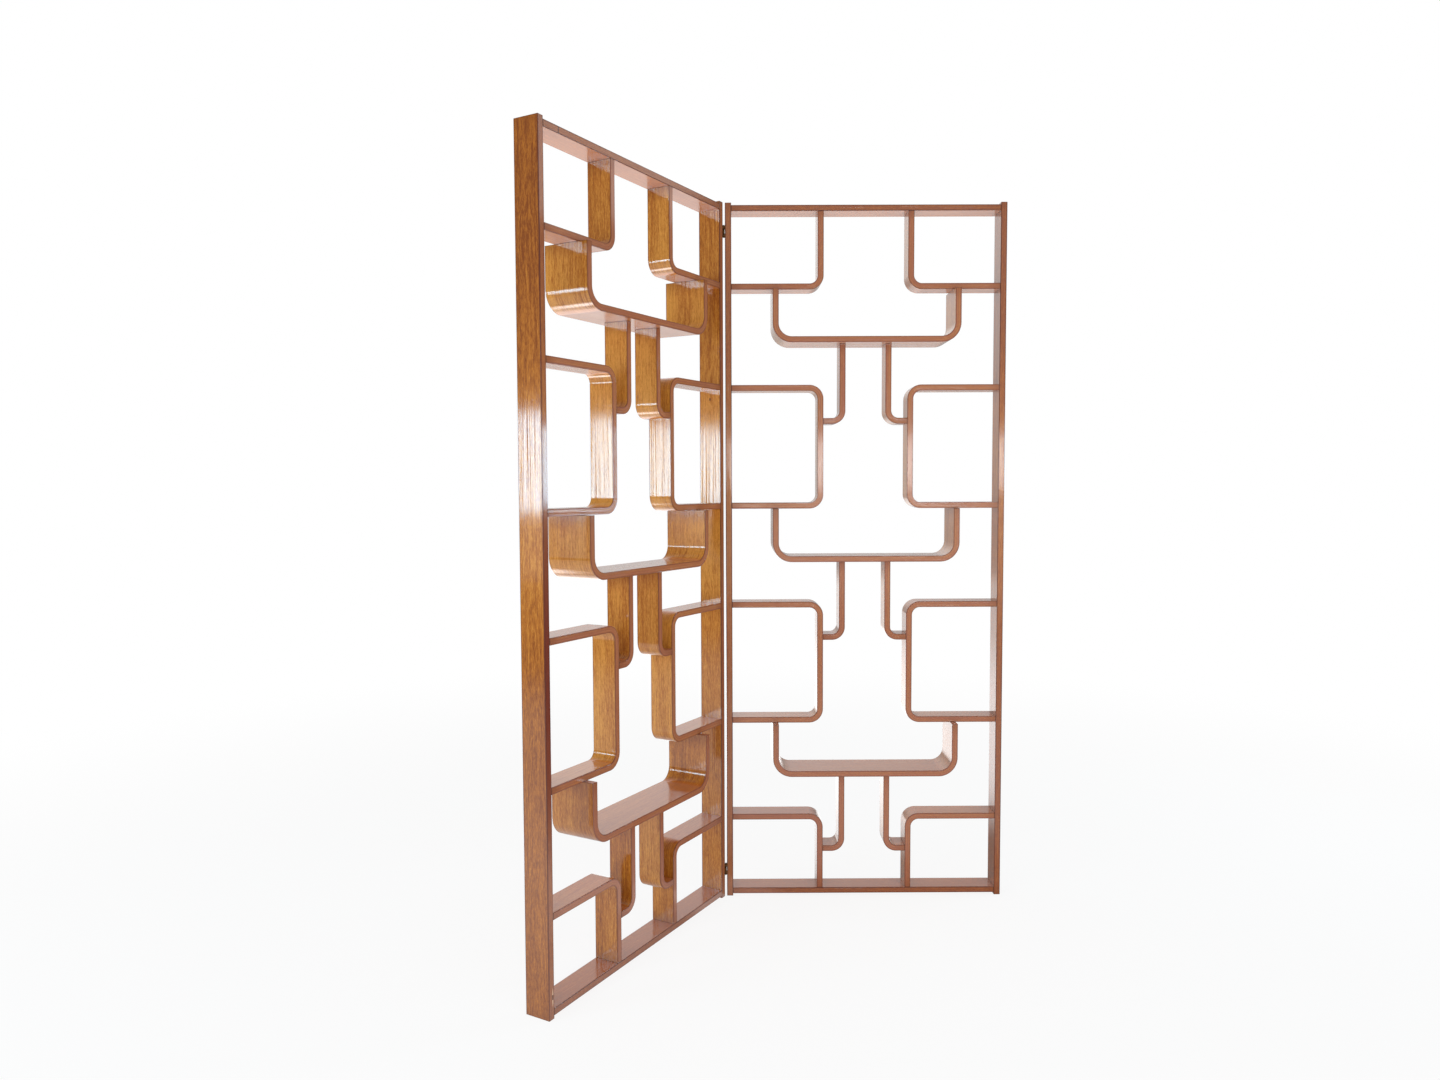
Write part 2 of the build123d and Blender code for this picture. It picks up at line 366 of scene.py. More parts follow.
# %% The floor
FLOOR_HALF = 30.0
FLOOR_DROP = 0.0004
FLOOR_WHITE = 0.95
FLOOR_BOUNCE = 0.28
SHADOW_KEPT = 0.12
SHADOW_FADES = (1.4, 5.0)


def paint_floor():
    """White paper: plain white with a part of its shading for the camera, real for the rest."""
    material, tree = start_material("white_paper")
    rays = add_node(tree, "LightPath")
    seen = rays.outputs["Is Camera Ray"]
    place = room_place(tree)
    away = vector_maths(tree, "LENGTH", place)
    plain_share = remap(tree, away, *SHADOW_FADES, 1 - SHADOW_KEPT, 1.0)
    plain_share = maths(tree, "MULTIPLY", plain_share, seen)
    plain_share = maths(tree, "MAXIMUM", plain_share, any_mirror(tree, rays))
    strength = mix_numbers(tree, seen, floor_in_mirrors(tree, place, away), WHITE)
    plain = add_node(tree, "Emission", {"Color": (1, 1, 1, 1), "Strength": strength})
    paper = add_node(tree, "BsdfDiffuse", {"Color": (FLOOR_WHITE, FLOOR_WHITE, FLOOR_WHITE, 1)})
    mixed = add_node(tree, "MixShader", {0: plain_share, 1: paper.outputs[0], 2: plain.outputs[0]})
    bounce = maths(tree, "MULTIPLY", rays.outputs["Is Diffuse Ray"], FLOOR_BOUNCE)
    lit = add_node(tree, "Emission", {"Color": (1, 1, 1, 1), "Strength": bounce})
    both = add_node(tree, "AddShader", {0: mixed.outputs[0], 1: lit.outputs[0]})
    add_node(tree, "OutputMaterial", {0: both.outputs[0]})
    return material


floor_corners = FLOOR_HALF * np.array([(-1, -1, 0), (1, -1, 0), (1, 1, 0), (-1, 1, 0)])
floor_corners[:, 2] -= FLOOR_DROP
floor_mesh = bpy.data.meshes.new("floor")
floor_mesh.from_pydata(floor_corners.tolist(), [], [(0, 1, 2, 3)])
floor_mesh.materials.append(paint_floor())
floor = bpy.data.objects.new("floor", floor_mesh)
bpy.context.scene.collection.objects.link(floor)
print("floor: white paper,", 2 * FLOOR_HALF, "m square")

# %% [markdown]
# ## The lamps
#
# The lamps are flat panels. The bright ones are made for what the lacquer shows: the one on the
# left for the broad faces of the left panel, the one on the right for its front edges, and the
# wide flat one in front for the edges of the right panel. The two at the sides are bluer than
# the room, as a flash is beside lit paper, and that keeps the glare white on brown wood. Each
# of the three has a dim panel under or above it, because a real soft box fades into its
# surroundings. One large lamp only lights the wood, and isn't mirrored: it does what the white
# walls of a studio do.

# %% The lamps
DAYLIGHT = (0.60, 0.84, 1.0)
PLAIN = (1.0, 1.0, 1.0)
LAMPS_AIM = (-0.3, 0.0, 1.45)
# Each lamp's place, width and height, brightness and colour, and whether mirrors show it
LAMPS = {
    "left_lamp": ((-3.45, 0.02, 1.535), (0.66, 0.52), 15.3, DAYLIGHT, True),
    "left_lamp_foot": ((-3.40, 0.02, 1.16), (0.8, 0.46), 0.9, PLAIN, True),
    "left_fill": ((-6.0, -2.0, 2.2), (4.5, 3.0), 1.45, PLAIN, False),
    "right_lamp": ((3.3, -0.86, 1.54), (0.95, 0.51), 11.5, DAYLIGHT, True),
    "right_lamp_head": ((3.3, -0.80, 3.70), (1.8, 1.10), 1.2, PLAIN, True),
    "front_lamp": ((-0.7, -3.5, 1.56), (2.4, 0.36), 7.5, PLAIN, True),
    "front_lamp_foot": ((-0.7, -3.5, 0.95), (2.2, 0.70), 0.5, PLAIN, True),
}


def hang_lamp(name, place, size, brightness, colour, mirrored):
    """A flat soft lamp at place, facing LAMPS_AIM, that the camera doesn't see.

    Its power is pi times its area times the brightness that a mirror shows, where 1 is white.
    """
    width, height = size
    data = bpy.data.lights.new(name, "AREA")
    data.shape = "RECTANGLE"
    data.size = width
    data.size_y = height
    data.energy = pi * width * height * brightness
    data.color = colour
    lamp = bpy.data.objects.new(name, data)
    lamp.location = place
    lamp.rotation_euler = (Vector(LAMPS_AIM) - Vector(place)).to_track_quat("-Z", "Y").to_euler()
    lamp.visible_camera = False
    lamp.visible_glossy = mirrored
    bpy.context.scene.collection.objects.link(lamp)
    print("lamp", name, round(data.energy, 1), "W")


for lamp_name, settings in LAMPS.items():
    hang_lamp(lamp_name, *settings)

# %% [markdown]
# ## Places on a panel
#
# Each panel stands turned by 30 degrees, so its boards are awkward to describe in the room's
# own directions. Seen from the panel they are simple: s runs along the panel from the hinge
# line, n from its front to its back, and h upwards. The two panels are mirror images, so one
# sign tells them apart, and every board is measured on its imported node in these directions.

# %% From the room to a panel and back
PANEL_TURN = radians(30)
SIDES = {"right": 1, "left": -1}


def panel_axes(sign):
    """The room's directions of s, n and h on a panel, as the three rows of a table."""
    outwards = (sign * cos(PANEL_TURN), -sin(PANEL_TURN), 0)
    backwards = (sign * sin(PANEL_TURN), cos(PANEL_TURN), 0)
    return np.array([outwards, backwards, (0, 0, 1)])


def from_panel(sign, places):
    """Room coordinates: the hinge line's place, plus s, n and h times their directions."""
    return places @ panel_axes(sign) + np.array(level_hinge)


def read_table(data, what):
    """The three numbers that each point or face of a mesh keeps, one row for each."""
    flat = np.empty(3 * len(data))
    data.foreach_get(what, flat)
    return flat.reshape(-1, 3)


def panel_box(side, node):
    """The lowest and highest s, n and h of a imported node."""
    places = read_table(frame["nodes"][node].data.vertices, "co") - np.array(level_hinge)
    places = places @ panel_axes(SIDES[side]).T
    return places.min(axis=0), places.max(axis=0)


rail_low, rail_high = panel_box("right", "right_top_rail")
HALF_BOARD = (rail_high[2] - rail_low[2]) / 2
print("boards are", round(2 * HALF_BOARD * MM_PER_M, 2), "mm thick")

# %% [markdown]
# ## The section of a board
#
# Sawn across, a board is a long rectangle whose four edges were eased with sandpaper. The outline could
# be a square profile with a bevel on top, but then the plies on the narrow faces would have nothing to
# follow. Here the outline is worked out as points that also know which way they face, because the
# finish needs that: veneer on the broad faces, plies on the narrow ones, and a rounded edge between
# them, which gets a line of painted shade.

# %% The outline of a board, sawn across
EDGE_ROUND = 0.0015
ROUND_STEPS = 5
NARROW_COLUMNS = 4
BROAD_COLUMNS = 8
CORNERS = np.array([(1, 1), (-1, 1), (-1, -1), (1, -1)])
RECESSED = 3


def board_section(half_thick, half_depth, splits=()):
    """Points round a board's section, as (through, depth), and which way each faces.

    Each corner is a quarter circle: its centre, plus the edge's radius times the cosine and
    sine of the angle turned. Between two corners the points lie evenly on a straight line.
    splits are depths at which the broad face after the corner RECESSED has two points in one
    place, so that a recess can part them.
    """
    turned = np.linspace(0, pi / 2, ROUND_STEPS + 1)
    centres = CORNERS * (half_thick - EDGE_ROUND, half_depth - EDGE_ROUND)
    outs, places = [], []
    for quarter, centre in enumerate(centres):
        angle = quarter * pi / 2 + turned
        facing = np.stack([np.cos(angle), np.sin(angle)], axis=1)
        arc = centre + EDGE_ROUND * facing
        following = centres[(quarter + 1) % len(centres)]
        start, end = arc[-1], following + EDGE_ROUND * facing[-1]
        columns = NARROW_COLUMNS if quarter % 2 == 0 else BROAD_COLUMNS
        shares = np.linspace(0, 1, columns + 1)[1:-1]
        if quarter == RECESSED and splits:
            parted = (np.array(splits) - start[1]) / (end[1] - start[1])
            shares = np.sort(np.concatenate([shares, parted, parted]))
        flat = start + shares[:, None] * (end - start)
        places.append(np.concatenate([arc, flat]))
        outs.append(np.concatenate([facing, np.repeat(facing[-1:], len(flat), axis=0)]))
    return np.concatenate(places), np.concatenate(outs)


rail_section, _ = board_section(HALF_BOARD, (rail_high[1] - rail_low[1]) / 2)
print("a rail's section has", len(rail_section), "points")

# %% [markdown]
# ## The way that a board runs
#
# A bent board is that section carried along a route of straight runs and quarter turns. A
# point on the route is a function of one number, the distance walked from its start, so the
# same number can later drive the grain, which in real bent veneer follows every bend.

# %% A route of straight runs and quarter turns
def lay_route(corners, bend):
    """A route's stretches and its length, from its corners and the radius of its bends.

    A stretch is its start and length, its first place and way, and the side it turns to, which
    a straight run doesn't have. A quarter turn is bend times half of pi long.
    """
    corners = [np.array(corner) for corner in corners]
    ways = [(b - a) / np.linalg.norm(b - a) for a, b in zip(corners, corners[1:])]
    stretches, walked = [], 0.0
    for number, way in enumerate(ways):
        cut_start = bend if number else 0.0
        cut_end = bend if number < len(ways) - 1 else 0.0
        first = corners[number] + way * cut_start
        length = np.linalg.norm(corners[number + 1] - corners[number]) - cut_start - cut_end
        stretches.append((walked, length, first, way, None))
        walked += length
        if cut_end:
            stretches.append((walked, bend * pi / 2, first + way * length, way, ways[number + 1]))
            walked += bend * pi / 2
    return stretches, walked


rail_route, rail_length = lay_route([(rail_low[0], 0), (rail_high[0], 0)], 0)
print("a rail is", round(rail_length * MM_PER_M, 1), "mm long")

# %% [markdown]
# The section is then set down at stations along the route. A straight run needs few of them, a
# bend needs one every few degrees to look round, and an eased end needs some close together.

# %% Stations along the route
RING_STEP = 0.02
TURN_STEPS = 14
EASE_STEPS = 4
EASE_ROOM = 1.5
DECIMALS = 7
TINY = 1e-9
BOARD_EASE = 0.0006


def on_route(stretches, bend, walked):
    """Place and way at each distance walked.

    On a straight run the place is its start plus the way times the distance. On a turn it is
    the start, plus bend times the sine of the angle along the way, plus bend times one less
    its cosine towards the side, where the angle is the distance over the bend.
    """
    places, ways = np.zeros((len(walked), 2)), np.zeros((len(walked), 2))
    for start, length, first, way, side in stretches:
        inside = (walked >= start - TINY) & (walked <= start + length + TINY)
        distance = (walked[inside] - start)[:, None]
        if side is None:
            places[inside] = first + distance * way
            ways[inside] = way
        else:
            angle = distance / bend
            places[inside] = first + bend * (np.sin(angle) * way + (1 - np.cos(angle)) * side)
            ways[inside] = np.cos(angle) * way + np.sin(angle) * side
    return places, ways


def stations(stretches, total, ease):
    """The distances at which the section is set down: close together in turns and at the ends."""
    found = []
    for start, length, _, _, side in stretches:
        count = TURN_STEPS if side is not None else int(np.ceil(length / RING_STEP))
        found.append(start + length * np.linspace(0, 1, count + 1))
    found = np.unique(np.round(np.concatenate(found), DECIMALS))
    found = found[(found > EASE_ROOM * ease) & (found < total - EASE_ROOM * ease)]
    near_end = ease * (1 - np.cos(np.linspace(0, pi / 2, EASE_STEPS + 1)))
    return np.concatenate([near_end, found, total - near_end[::-1]])


rail_rows = len(stations(rail_route, rail_length, BOARD_EASE))
print("a rail has", rail_rows, "stations")

# %% [markdown]
# ## Sweeping a board
#
# The section set down at every station gives a grid of points, one row for each station, and
# the faces between the rows close the board. Towards each end the section shrinks along a
# quarter circle, which eases the sawn end: a butt joint then shows as a fine groove, as it does
# on the real piece. A cube with a bevel would do for a straight board, but not for a bent one,
# and here both come from one function. A recess for a hinge leaf is pushed into the same grid.

# %% Rows of the grid, and the faces between them
SAME_PLACE = 1e-6


def add_recess_rows(walked, recesses):
    """Sets two rows in one place at each end of each recess, so that its walls stand upright.

    Returns the distances walked, and whether each row lies in a recess.
    """
    in_recess = np.zeros(len(walked), bool)
    for low, high, _, _ in recesses:
        before = walked < low - SAME_PLACE
        after = walked > high + SAME_PLACE
        within = walked[(walked > low) & (walked < high)]
        parted = np.concatenate([[low, low], within, [high, high]])
        flags = np.ones(len(parted), bool)
        flags[[0, -1]] = False
        in_recess = np.concatenate([in_recess[before], flags, in_recess[after]])
        walked = np.concatenate([walked[before], parted, walked[after]])
    return walked, in_recess


def grid_faces(rows, columns, turned_over):
    """The faces between rows of points that run round a board, and one over each end."""
    number = np.arange(rows * columns).reshape(rows, columns)
    following = np.roll(number, -1, axis=1)
    faces = np.stack([number[:-1], number[1:], following[1:], following[:-1]], axis=-1)
    found = faces.reshape(-1, 4).tolist() + [number[0].tolist(), number[-1, ::-1].tolist()]
    return [face[::-1] for face in found] if turned_over else found


def section_rows(section, facing, inset, half_thick, in_recess, recesses):
    """How far through and how deep each point lies, row by row.

    It is the section's own place less the row's inset times the way it faces. In a recess the
    points in front of its back lie no further out than its floor.
    """
    through = section[:, 0] - inset[:, None] * facing[:, 0]
    depth = section[:, 1] - inset[:, None] * facing[:, 1]
    if recesses:
        _, _, back, deep = recesses[0]
        first_back = np.flatnonzero(np.isclose(section[:, 1], back))[0]
        front = (section[:, 1] < back + SAME_PLACE) & (np.arange(len(section)) != first_back + 1)
        pushed = np.minimum(through, half_thick - deep)
        through = np.where(in_recess[:, None] & front, pushed, through)
    return through, depth


def row_directions(facing, angle, to_nearer_end, ways, lefts):
    """Which way the surface faces at each point, in s, n and h.

    It is the section's own direction times the sine of the row's angle, plus the way to the
    nearer end times its cosine.
    """
    outwards = np.sin(angle)[:, None] * facing[:, 0]
    endwards = np.cos(angle) * to_nearer_end
    out_s = outwards * lefts[:, :1] + (endwards * ways[:, 0])[:, None]
    out_h = outwards * lefts[:, 1:] + (endwards * ways[:, 1])[:, None]
    out_n = np.sin(angle)[:, None] * facing[:, 1]
    return np.stack([out_s, out_n, out_h], axis=-1)


print("a rail has", len(grid_faces(rail_rows, len(rail_section), False)), "faces")

# %% [markdown]
# A finish can only follow a bend if it knows the board from before it was bent. So each point
# keeps its place in the straight board as an attribute of the mesh, beside its distances to the
# nearest edge and end. The grain is painted in that straight board, and bends with the wood.
# Unwrapping the mesh by hand would do the same for one board, but not for forty-two.

# %% The swept mesh of a board
NARROW_LEAN = 0.01


def write_attribute(mesh, name, values):
    """Stores one number, or three, on each point of a mesh."""
    vector = np.ndim(values) == 2
    made = mesh.attributes.new(name, "FLOAT_VECTOR" if vector else "FLOAT", "POINT")
    flat = np.ascontiguousarray(values, np.float32).ravel()
    made.data.foreach_set("vector" if vector else "value", flat)


def sweep_board(name, side, corners, bend, half_depth, half_thick, ease, recesses=()):
    """A board as a mesh: rows of section points along a route, closed at both ends.

    A point is the route's place, plus through times the route's left, plus depth times n. Near
    an end the section is inset by ease times one less the sine of an angle, while the distance
    from the end is ease times one less its cosine. recesses are (low, high, back, deep) in h,
    h, n and s: there the recessed broad face is pushed in, in front of the depth back.
    """
    sign = SIDES[side]
    stretches, total = lay_route(corners, bend)
    walked, in_recess = add_recess_rows(stations(stretches, total, ease), recesses)
    splits = sorted({back for _, _, back, _ in recesses})
    section, facing = board_section(half_thick, half_depth, splits)
    places, ways = on_route(stretches, bend, walked)
    to_end = np.minimum(walked, total - walked)
    angle = np.arccos(np.clip(1 - to_end / ease, 0, 1))
    inset = ease * (1 - np.sin(angle))
    lefts = np.stack([-ways[:, 1], ways[:, 0]], axis=1)

    through, depth = section_rows(section, facing, inset, half_thick, in_recess, recesses)
    s = places[:, :1] + through * lefts[:, :1]
    h = places[:, 1:] + through * lefts[:, 1:]
    points = np.stack([s, depth, h], axis=-1)
    to_nearer_end = np.where(walked < total / 2, -1, 1)
    normals = row_directions(facing, angle, to_nearer_end, ways, lefts)

    rows, columns = through.shape
    mesh = bpy.data.meshes.new(name)
    world = from_panel(sign, points.reshape(-1, 3))
    mesh.from_pydata(world.tolist(), [], grid_faces(rows, columns, sign < 0))

    on_narrow = np.abs(facing[:, 1]) > NARROW_LEAN
    to_arris = half_thick + half_depth - np.abs(section).sum(axis=1)
    along = np.repeat(walked[:, None], columns, axis=1)
    flat = np.stack([along, depth, through], axis=-1)
    write_attribute(mesh, "straight_board", flat.reshape(-1, 3))
    write_attribute(mesh, "narrow_face", np.tile(on_narrow, rows))
    write_attribute(mesh, "to_arris", np.tile(to_arris, rows))
    write_attribute(mesh, "to_end", np.repeat(to_end, columns))
    write_attribute(mesh, "facing", normals.reshape(-1, 3) @ panel_axes(sign))
    return mesh


print("a face is narrow where it leans more than", NARROW_LEAN, "towards the front or back")

# %% [markdown]
# A recess leaves some points in one place, so those are merged. Then the mesh is told which
# way its surface faces at every corner. Blender could average that from the faces, but it would
# spread the rounding of an edge over the flat beside it, and bend the lacquer's mirror image.
# The direction worked out with the shape keeps flat faces flat. Only where it disagrees with
# the face, as at the walls of a recess, does the face's own direction hold.

# %% Merge, then set the way that the surface faces
FITS_WITHIN = 40


def settle_mesh(mesh):
    """Merges points in one place, and gives each corner of each face its direction.

    The cosine of the angle between two directions is their product, added up over its parts.
    """
    work = bmesh.new()
    work.from_mesh(mesh)
    bmesh.ops.remove_doubles(work, verts=work.verts, dist=SAME_PLACE)
    work.to_mesh(mesh)
    work.free()
    mesh.validate()

    at_point = np.empty(len(mesh.loops), np.int32)
    mesh.loops.foreach_get("vertex_index", at_point)
    worked_out = read_table(mesh.attributes["facing"].data, "vector")[at_point]
    worked_out /= np.maximum(np.linalg.norm(worked_out, axis=1, keepdims=True), TINY)

    sizes = np.empty(len(mesh.polygons), np.int32)
    mesh.polygons.foreach_get("loop_total", sizes)
    own = np.repeat(read_table(mesh.polygons, "normal"), sizes, axis=0)

    fits = (worked_out * own).sum(axis=1, keepdims=True) > cos(radians(FITS_WITHIN))
    mesh.shade_smooth()
    mesh.normals_split_custom_set(np.where(fits, worked_out, own).tolist())
    mesh.attributes.remove(mesh.attributes["facing"])


print("a worked out direction holds within", FITS_WITHIN, "degrees of the face's own")

# %% [markdown]
# ## The grain of the wood
#
# All the wood is one family: beech, stained honey brown and lacquered. Its colour wanders over
# a hand's breadth, fine lines run along the grain, and short dark flecks are what tells beech
# from other woods. A picture of veneer could be laid on, but it would repeat, and it couldn't
# be drawn round the bends. Here five noises, each finer than the one before and all drawn out
# along the grain, are read in the straight board's coordinates, so they follow every bend. Each
# board reads them at a place of its own, and on a narrow face so does each ply.

# %% Colours of the wood, and its grain
GOLDEN = screen_colour(212, 148, 62)
HONEY = screen_colour(174, 105, 32)
CHESTNUT = screen_colour(126, 64, 17)
DARK_FLECK = screen_colour(84, 40, 16)

PLIES = 13
PLY = 2 * HALF_BOARD / PLIES
PLY_SHIFT = 3.0
BOARD_SHIFT = 9.0
# Waves to the metre along, across and through, detail, and for some roughness and distortion
GRAIN = {
    "figure": ((1.8, 15.0, 25.0), 1.0),
    "lines": ((5.0, 140.0, 140.0), 3.0, 0.6, 0.15),
    "dashes": ((22.0, 210.0, 210.0), 2.0),
    "flecks": ((85.0, 420.0, 420.0), 2.0, 0.6),
    "pores": ((190.0, 1500.0, 1500.0), 1.0),
}


def weighed_sum(tree, start, shares):
    """start plus each value's distance from a half, times its share."""
    total = start
    for value, share in shares:
        total = maths(tree, "MULTIPLY_ADD", maths(tree, "SUBTRACT", value, 0.5), share, total)
    return total


def place_in_wood(tree, place, tone, narrow):
    """A point's place in the log: its place in the straight board, shifted along the grain.

    The shift is the board's tone times BOARD_SHIFT, plus on a narrow face a number drawn for
    the ply times PLY_SHIFT. Returns the place, that number, and the plies counted up to the
    point.
    """
    through = maths(tree, "ADD", one_part(tree, place, "Z"), HALF_BOARD)
    ply_count = maths(tree, "DIVIDE", through, PLY)
    whole = maths(tree, "FLOOR", ply_count)
    drawn = add_node(tree, "TexWhiteNoise", {"W": whole}, noise_dimensions="1D").outputs["Value"]
    drawn = maths(tree, "MULTIPLY", drawn, narrow)
    board_shift = maths(tree, "MULTIPLY", tone, BOARD_SHIFT)
    shift = maths(tree, "MULTIPLY_ADD", drawn, PLY_SHIFT, board_shift)
    shifted = add_node(tree, "CombineXYZ", {0: shift, 1: tone, 2: 0.0}).outputs[0]
    return vector_maths(tree, "ADD", place, shifted), drawn, ply_count


print("grain:", len(GRAIN), "noises, and plies of", round(PLY * MM_PER_M, 2), "mm")

# %% [markdown]
# ## Growth rings
#
# The posts and rails are sawn from thicker wood, whose growth rings show as long arches, one
# inside the other. Blender's wave texture could draw rings too, but a distance from the heart
# of a log is as short to write, and then the heart can slope along the board, as it does in a
# log that is slightly conical. That is what closes the arches.

# %% Growth rings of a sawn board
RING_WIDTH = 0.0043
RING_DEPTH = 0.034
RING_SLOPE = 0.026
RING_WAVES = (3.2, 13.0, 13.0)
RING_BEND_ACROSS = 0.03
RING_BEND_UNDER = 0.045
RING_BY_TONE = 0.05
RING_LINE = (0.10, 0.50)


def growth_rings(tree, place, tone):
    """Dark lines of a board sawn from a slightly conical log: arches, one inside the other.

    A point's ring is its distance from the log's heart, over a ring's width. The heart lies
    under the face and slopes along the board, and a slow noise bends the rings.
    """
    bend = maths(tree, "SUBTRACT", stretched_noise(tree, place, RING_WAVES), 0.5)
    from_middle = maths(tree, "SUBTRACT", tone, 0.5)
    across = maths(tree, "MULTIPLY_ADD", from_middle, RING_BY_TONE, one_part(tree, place, "Y"))
    across = maths(tree, "MULTIPLY_ADD", bend, RING_BEND_ACROSS, across)
    along, through = one_part(tree, place, "X"), one_part(tree, place, "Z")
    under = maths(tree, "MULTIPLY_ADD", along, RING_SLOPE, through)
    under = maths(tree, "ADD", maths(tree, "MULTIPLY_ADD", bend, RING_BEND_UNDER, RING_DEPTH), under)
    heart = add_node(tree, "CombineXYZ", {0: across, 1: under, 2: 0.0}).outputs[0]
    radius = vector_maths(tree, "LENGTH", heart)
    wave = maths(tree, "PINGPONG", maths(tree, "DIVIDE", radius, RING_WIDTH), 0.5)
    return remap(tree, wave, *RING_LINE)


print("growth rings are", RING_WIDTH * MM_PER_M, "mm wide")

# %% [markdown]
# ## Bent boards and sawn boards
#
# The bent boards are veneer, even and warm, and a little darker below a metre from the floor.
# The sawn ones are painted most golden at breast height, which is painted light where the left lamp's
# glare falls, and their lines are calmer lower down. Two materials made by hand could say all that, but
# then every change would be made twice. Here one number says how pale a point is. It is a start plus a
# share of each noise, so a kind of board is a short list of shares.

# %% What makes a point of the wood paler
BENT_START = 0.575
BENT_SHARES = {"figure": 0.8, "lines": 0.75, "dashes": 0.85, "flecks": 1.0, "pores": 0.6}
DARK_BELOW = (0.85, 1.15)
DARK_BELOW_SHARE = 0.18

SAWN_START = 0.365
SAWN_SHARES = {"figure": 0.12, "dashes": 0.55, "flecks": 1.0, "pores": 0.6}
SAWN_LINES_SHARE = 0.80
CALM_BELOW = (0.7, 1.3)
CALM_SHARE = 0.5
# Painted light: sawn boards are painted paler about this height, where the left lamp's glare falls
PAINTED_LIGHT_HEIGHT = 1.36
PAINTED_LIGHT_FADES = (0.1, 0.60)
PAINTED_LIGHT_SHARE = 0.36
RINGS_SHARE = -0.15


def bent_shares(tree, grain, height):
    """What makes a bent board paler: its noises, and standing above DARK_BELOW."""
    above = remap(tree, height, *DARK_BELOW, -0.5, 0.5)
    return [(grain[noise], share) for noise, share in BENT_SHARES.items()] + [(above, DARK_BELOW_SHARE)]


def sawn_shares(tree, grain, height, place, tone):
    """What makes a sawn board paler: its noises and rings, and painted light near PAINTED_LIGHT_HEIGHT.
    """
    calm = remap(tree, height, *CALM_BELOW, CALM_SHARE, 1.0)
    # Painted light, strongest at PAINTED_LIGHT_HEIGHT and gone beyond its fades
    from_painted_light = maths(tree, "ABSOLUTE", maths(tree, "SUBTRACT", height, PAINTED_LIGHT_HEIGHT))
    painted_light = remap(tree, from_painted_light, *PAINTED_LIGHT_FADES, 1.0, 0.0)
    shares = [(grain[noise], share) for noise, share in SAWN_SHARES.items()]
    shares.append((grain["lines"], maths(tree, "MULTIPLY", calm, SAWN_LINES_SHARE)))
    shares.append((growth_rings(tree, place, tone), RINGS_SHARE))
    shares.append((painted_light, PAINTED_LIGHT_SHARE))
    return shares


print("a bent board has", len(BENT_SHARES), "shares of grain, a sawn one", len(SAWN_SHARES) + 2)

# %% [markdown]
# That number is then looked up on a ramp of three colours, from chestnut over honey to golden,
# and the darkest pores are drawn over it. A ramp is how a polisher's sample board works too: a
# few shades side by side, with all that lies between them.

# %% The colour of a shade
CHESTNUT_AT = 0.05
HONEY_AT = 0.5
GOLDEN_AT = 0.95
PORES_FROM = (0.62, 0.74)
PORES_SHARE = 0.45


def wood_colour(tree, shade, pores):
    """The colour of a shade from 0 to 1, with the darkest pores drawn in."""
    stops = add_node(tree, "ValToRGB", {0: shade})
    ramp = stops.color_ramp
    ramp.elements[0].position = CHESTNUT_AT
    ramp.elements[0].color = CHESTNUT
    ramp.elements[1].position = GOLDEN_AT
    ramp.elements[1].color = GOLDEN
    ramp.elements.new(HONEY_AT).color = HONEY
    dark = remap(tree, pores, *PORES_FROM, 0.0, PORES_SHARE)
    return blend_colours(tree, dark, stops.outputs[0], DARK_FLECK)


print("the ramp's colours lie at", CHESTNUT_AT, HONEY_AT, "and", GOLDEN_AT)

# %% [markdown]
# ## Narrow faces
#
# The narrow faces of the bent boards show the plies that they were glued up from, one line beside the
# other, and are pinker than the veneer. Those of some posts are painted much darker and redder than
# their broad faces, which is painted shade where those faces get less light. Each ply could be a thin
# board of its own, but the plies are sanded flush, so they are only colour, painted by how far through
# the board a point lies.

# %% Narrow faces of bent and sawn boards
PINK_EDGE = screen_colour(174, 104, 84)
SHADED_EDGE = screen_colour(112, 32, 10)
PINK_BY_FIGURE = (0.35, 0.65, 0.82, 0.54)
PINK_SHARE_OF_SAWN = 0.27
PLY_SHARE = 0.30
GLUE_LINE = (0.04, 0.14)
GLUE_SHARE = 0.30


def ply_edge(tree, colour, figure, drawn, ply_count):
    """A bent board's narrow face: pinker, each ply in its own shade, dark glue between them."""
    edge = blend_colours(tree, remap(tree, figure, *PINK_BY_FIGURE), colour, PINK_EDGE)
    edge = blend_colours(tree, maths(tree, "MULTIPLY", drawn, PLY_SHARE), edge, CHESTNUT)
    from_glue = maths(tree, "PINGPONG", maths(tree, "FRACT", ply_count), 0.5)
    glue = remap(tree, from_glue, *GLUE_LINE, GLUE_SHARE, 0.0)
    return blend_colours(tree, glue, edge, DARK_FLECK)


def sawn_edge(tree, colour):
    """A sawn board's narrow face: a little pinker, and darkened by painted shade as the mesh says."""
    edge = blend_colours(tree, PINK_SHARE_OF_SAWN, colour, PINK_EDGE)
    # Painted shade on the narrow faces, as much as the mesh keeps
    return blend_colours(tree, stored(tree, "edge_shade"), edge, SHADED_EDGE)


print("glue lines lie", round(PLY * MM_PER_M, 2), "mm apart")

# %% [markdown]
# ## Dark edges and joints
#
# Every edge has a fine dark line, which is painted shade and a painted dark reflection: a rounded edge
# turns away from the lamps and mirrors the dim side of the room. The wood is also painted darker
# towards each end, as shade in the corners where boards meet, and each joint is a dark brown hairline.
# Such lines could be drawn by hand on an unwrapped board, but each board would need its own. Here they
# are painted by distances that the mesh keeps, to the nearest edge and to the nearer end, so that they
# are right on a board of any size.

# %% Dark lines on edges, and dark ends
ARRIS_SHADE = screen_colour(84, 30, 12)
JOINT_BROWN = screen_colour(52, 22, 10)
ARRIS_LINE = (0.0012, 0.0042)
ARRIS_SHARE_OF_BENT = 0.62
ARRIS_SHARE_OF_SAWN = 0.90
ARRIS_BY_FIGURE = (0.35, 0.6, 0.70, 1.0)
END_FADES = (0.0, 0.050)
END_SHADE_SHARE = 0.42
JOINT_FADES = (0.0006, 0.0030)
JOINT_SHARE = 0.50


